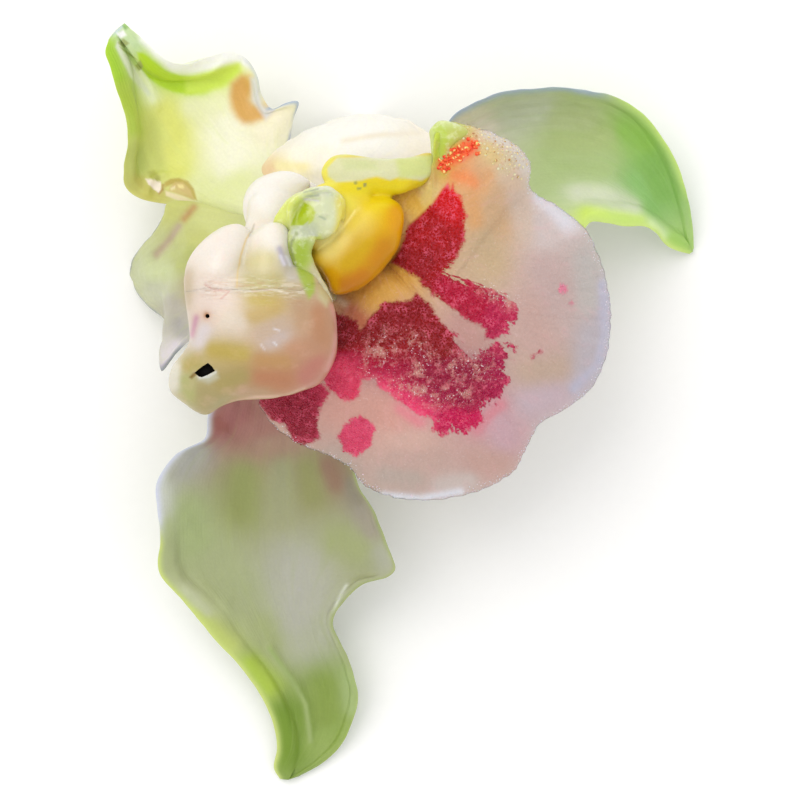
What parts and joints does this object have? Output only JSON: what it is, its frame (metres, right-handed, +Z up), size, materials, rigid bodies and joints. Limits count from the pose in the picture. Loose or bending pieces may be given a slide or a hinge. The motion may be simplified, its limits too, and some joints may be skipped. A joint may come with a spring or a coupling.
{
  "type": "cymbidium orchid flower",
  "caption": "Picked orchid flower lying face up: green boat-shaped sepals and petals round an arched column, and a broad ruffled lip with a crimson patch and yellow keels.",
  "frame": {"origin": "centre of the footprint on the surface the flower lies on", "axes": "+Z up, towards the open face of the flower; +Y towards the petal above the column; +X towards the free edge of the lip"},
  "size_m": [0.07, 0.0898, 0.0436],
  "materials": {
    "dorsal_sepal": "satin, waxy",
    "lateral_sepal_right": "satin, waxy",
    "lateral_sepal_left": "satin, waxy",
    "petal_right": "satin, waxy",
    "petal_left": "satin, waxy",
    "lip": "fine glistening grain",
    "column": "waxy",
    "anther_cap": "waxy",
    "pollinia": "waxy",
    "viscidium": "sticky, glossy",
    "stalk": "satin, waxy"
  },
  "bodies": {
    "root": {"dorsal_sepal": "dorsal_sepal", "lateral_sepal_right": "lateral_sepal_right", "lateral_sepal_left": "lateral_sepal_left", "petal_right": "petal_right", "petal_left": "petal_left", "lip": "lip", "column": "column", "anther_cap": "anther_cap", "pollinium_left": "pollinia", "pollinium_right": "pollinia", "viscidium": "viscidium", "ovary_and_stalk": "stalk"}
  },
  "joints": []
}
